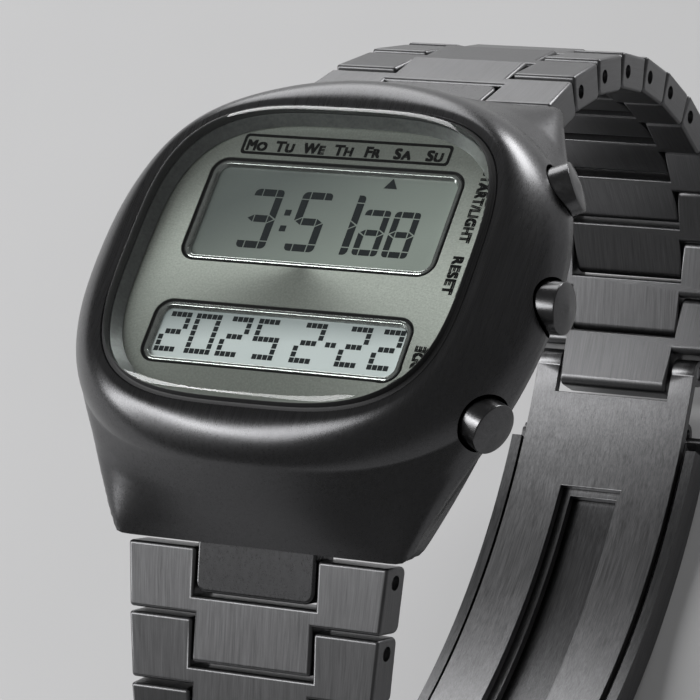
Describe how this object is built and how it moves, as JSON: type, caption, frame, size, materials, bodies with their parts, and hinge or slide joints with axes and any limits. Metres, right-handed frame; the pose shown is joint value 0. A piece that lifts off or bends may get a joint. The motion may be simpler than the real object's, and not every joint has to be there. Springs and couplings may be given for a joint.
{
  "type": "digital watch",
  "caption": "Digital wristwatch with a cushion-shaped steel case, two display windows, side pushers and a link bracelet closed by a fold-over clasp",
  "frame": {"origin": "middle of the case back's outer face", "axes": "+Z out through the dial, +Y towards 12 o'clock, +X towards the pushers at 3 o'clock"},
  "size_m": [0.0367, 0.0732, 0.056],
  "materials": {
    "case_steel": "satin dark grey, fine lengthwise brushing, polished edges",
    "link_steel": "satin dark grey tops, polished bevels",
    "clasp_steel": "satin",
    "back_steel": "satin with a ring of fine turning marks",
    "pin_steel": "drawn wire",
    "crystal": "clear, polished bevel",
    "seal_rubber": "matt black",
    "dial": "fine sandblasted, warm silver grey",
    "window_frame": "polished silver",
    "display_upper": "grey-green liquid crystal cell",
    "display_lower": "pale bluish liquid crystal cell",
    "light_guide": "clear light guide",
    "connector": "striped conducting rubber",
    "module_plastic": "natural moulded plastic",
    "board": "green board",
    "chip": "black resin and tinned can",
    "battery": "nickel plated",
    "strap": "plated spring brass"
  },
  "bodies": {
    "head": {"case_body": "case_steel", "crystal": "crystal", "crystal_gasket": "seal_rubber", "dial_plate": "dial", "time_frame": "window_frame", "date_frame": "window_frame", "time_display": "display_upper", "date_display": "display_lower", "display_light": "light_guide", "display_connectors": "connector", "module_frame": "module_plastic", "circuit_board": "board", "circuit_parts": "chip", "battery": "battery", "battery_strap": "strap", "case_back": "back_steel", "case_back_seal": "seal_rubber", "case_back_screws": "pin_steel", "pusher_guides": "pin_steel", "pusher_seals": "seal_rubber", "spring_upper": "pin_steel", "spring_middle": "pin_steel", "spring_lower": "pin_steel"},
    "pusher_upper": {"pusher_upper": "case_steel"},
    "pusher_middle": {"pusher_middle": "case_steel"},
    "pusher_lower": {"pusher_lower": "case_steel"},
    "link_12_01": {"link_12_01": "link_steel"},
    "link_12_02": {"link_12_02": "link_steel"},
    "link_12_03": {"link_12_03": "link_steel"},
    "link_12_04": {"link_12_04": "link_steel"},
    "link_12_05": {"link_12_05": "link_steel"},
    "link_12_06": {"link_12_06": "link_steel"},
    "link_12_07": {"link_12_07": "link_steel"},
    "link_12_08": {"link_12_08": "link_steel"},
    "link_12_09": {"link_12_09": "link_steel"},
    "link_12_10": {"link_12_10": "link_steel"},
    "link_12_11": {"link_12_11": "link_steel"},
    "link_6_01": {"link_6_01": "link_steel"},
    "link_6_02": {"link_6_02": "link_steel"},
    "link_6_03": {"link_6_03": "link_steel"},
    "link_6_04": {"link_6_04": "link_steel"},
    "link_6_05": {"link_6_05": "link_steel"},
    "link_6_06": {"link_6_06": "link_steel"},
    "link_6_07": {"link_6_07": "link_steel"},
    "link_6_08": {"link_6_08": "link_steel"},
    "link_6_09": {"link_6_09": "link_steel"},
    "link_6_10": {"link_6_10": "link_steel"},
    "link_6_11": {"link_6_11": "link_steel", "cover_end_bar": "pin_steel"},
    "inner_blade": {"inner_blade": "clasp_steel", "blade_end_bar": "pin_steel", "blade_hinge_pin": "pin_steel"},
    "middle_blade": {"middle_blade": "clasp_steel", "cover_hinge_pin": "pin_steel"},
    "clasp_cover": {"clasp_cover": "link_steel"}
  },
  "joints": [
    {"name": "press_upper", "type": "slide", "parent": "head", "child": "pusher_upper", "axis": [-0.8988, -0.4384, 0], "range_m": [0, 0.0007], "stiffness_N_per_m": 1500, "springref_m": -0.0006, "deforming": ["spring_upper"]},
    {"name": "press_middle", "type": "slide", "parent": "head", "child": "pusher_middle", "axis": [-1, 0, 0], "range_m": [0, 0.0007], "stiffness_N_per_m": 1500, "springref_m": -0.0006, "deforming": ["spring_middle"]},
    {"name": "press_lower", "type": "slide", "parent": "head", "child": "pusher_lower", "axis": [-0.8988, 0.4384, 0], "range_m": [0, 0.0007], "stiffness_N_per_m": 1500, "springref_m": -0.0006, "deforming": ["spring_lower"]},
    {"name": "bend_12_01", "type": "hinge", "parent": "head", "child": "link_12_01", "pos_m": [0, 0.01885, -0.0006], "axis": [1, 0, 0], "range_deg": [0, 14]},
    {"name": "bend_12_02", "type": "hinge", "parent": "link_12_01", "child": "link_12_02", "pos_m": [0, 0.02285, -0.00325], "axis": [1, 0, 0], "range_deg": [0, 16.5]},
    {"name": "bend_12_03", "type": "hinge", "parent": "link_12_02", "child": "link_12_03", "pos_m": [0, 0.02642, -0.00646], "axis": [1, 0, 0], "range_deg": [0, 16.5]},
    {"name": "bend_12_04", "type": "hinge", "parent": "link_12_03", "child": "link_12_04", "pos_m": [0, 0.02947, -0.01016], "axis": [1, 0, 0], "range_deg": [0, 17.5]},
    {"name": "bend_12_05", "type": "hinge", "parent": "link_12_04", "child": "link_12_05", "pos_m": [0, 0.03187, -0.01432], "axis": [1, 0, 0], "range_deg": [0, 17]},
    {"name": "bend_12_06", "type": "hinge", "parent": "link_12_05", "child": "link_12_06", "pos_m": [0, 0.03359, -0.0188], "axis": [1, 0, 0], "range_deg": [0, 17]},
    {"name": "bend_12_07", "type": "hinge", "parent": "link_12_06", "child": "link_12_07", "pos_m": [0, 0.03459, -0.0235], "axis": [1, 0, 0], "range_deg": [0, 19]},
    {"name": "bend_12_08", "type": "hinge", "parent": "link_12_07", "child": "link_12_08", "pos_m": [0, 0.03467, -0.0283], "axis": [1, 0, 0], "range_deg": [0, 26]},
    {"name": "bend_12_09", "type": "hinge", "parent": "link_12_08", "child": "link_12_09", "pos_m": [0, 0.03327, -0.03289], "axis": [1, 0, 0], "range_deg": [0, 27]},
    {"name": "bend_12_10", "type": "hinge", "parent": "link_12_09", "child": "link_12_10", "pos_m": [0, 0.03045, -0.03677], "axis": [1, 0, 0], "range_deg": [0, 27]},
    {"name": "bend_12_11", "type": "hinge", "parent": "link_12_10", "child": "link_12_11", "pos_m": [0, 0.02652, -0.03952], "axis": [1, 0, 0], "range_deg": [0, 26]},
    {"name": "bend_6_01", "type": "hinge", "parent": "head", "child": "link_6_01", "pos_m": [0, -0.01885, -0.0006], "axis": [-1, 0, 0], "range_deg": [0, 14]},
    {"name": "bend_6_02", "type": "hinge", "parent": "link_6_01", "child": "link_6_02", "pos_m": [0, -0.02285, -0.00325], "axis": [-1, 0, 0], "range_deg": [0, 10.5]},
    {"name": "bend_6_03", "type": "hinge", "parent": "link_6_02", "child": "link_6_03", "pos_m": [0, -0.02674, -0.00607], "axis": [-1, 0, 0], "range_deg": [0, 14]},
    {"name": "bend_6_04", "type": "hinge", "parent": "link_6_03", "child": "link_6_04", "pos_m": [0, -0.0303, -0.00928], "axis": [-1, 0, 0], "range_deg": [0, 19]},
    {"name": "bend_6_05", "type": "hinge", "parent": "link_6_04", "child": "link_6_05", "pos_m": [0, -0.03319, -0.01312], "axis": [-1, 0, 0], "range_deg": [0, 23]},
    {"name": "bend_6_06", "type": "hinge", "parent": "link_6_05", "child": "link_6_06", "pos_m": [0, -0.03499, -0.01757], "axis": [-1, 0, 0], "range_deg": [0, 25]},
    {"name": "bend_6_07", "type": "hinge", "parent": "link_6_06", "child": "link_6_07", "pos_m": [0, -0.03541, -0.02235], "axis": [-1, 0, 0], "range_deg": [0, 26]},
    {"name": "bend_6_08", "type": "hinge", "parent": "link_6_07", "child": "link_6_08", "pos_m": [0, -0.03433, -0.02703], "axis": [-1, 0, 0], "range_deg": [0, 26]},
    {"name": "bend_6_09", "type": "hinge", "parent": "link_6_08", "child": "link_6_09", "pos_m": [0, -0.03186, -0.03114], "axis": [-1, 0, 0], "range_deg": [0, 25]},
    {"name": "bend_6_10", "type": "hinge", "parent": "link_6_09", "child": "link_6_10", "pos_m": [0, -0.02829, -0.03435], "axis": [-1, 0, 0], "range_deg": [0, 23]},
    {"name": "bend_6_11", "type": "hinge", "parent": "link_6_10", "child": "link_6_11", "pos_m": [0, -0.02401, -0.03653], "axis": [-1, 0, 0], "range_deg": [0, 20]},
    {"name": "blade_end_turn", "type": "hinge", "parent": "link_12_11", "child": "inner_blade", "pos_m": [0, 0.02193, -0.04093], "axis": [1, 0, 0], "range_deg": [0, 15]},
    {"name": "blade_fold", "type": "hinge", "parent": "inner_blade", "child": "middle_blade", "pos_m": [0, -0.01391, -0.04004], "axis": [-1, 0, 0], "range_deg": [0, 140]},
    {"name": "cover_fold", "type": "hinge", "parent": "middle_blade", "child": "clasp_cover", "pos_m": [0, 0.01741, -0.04296], "axis": [1, 0, 0], "range_deg": [0, 150]}
  ]
}
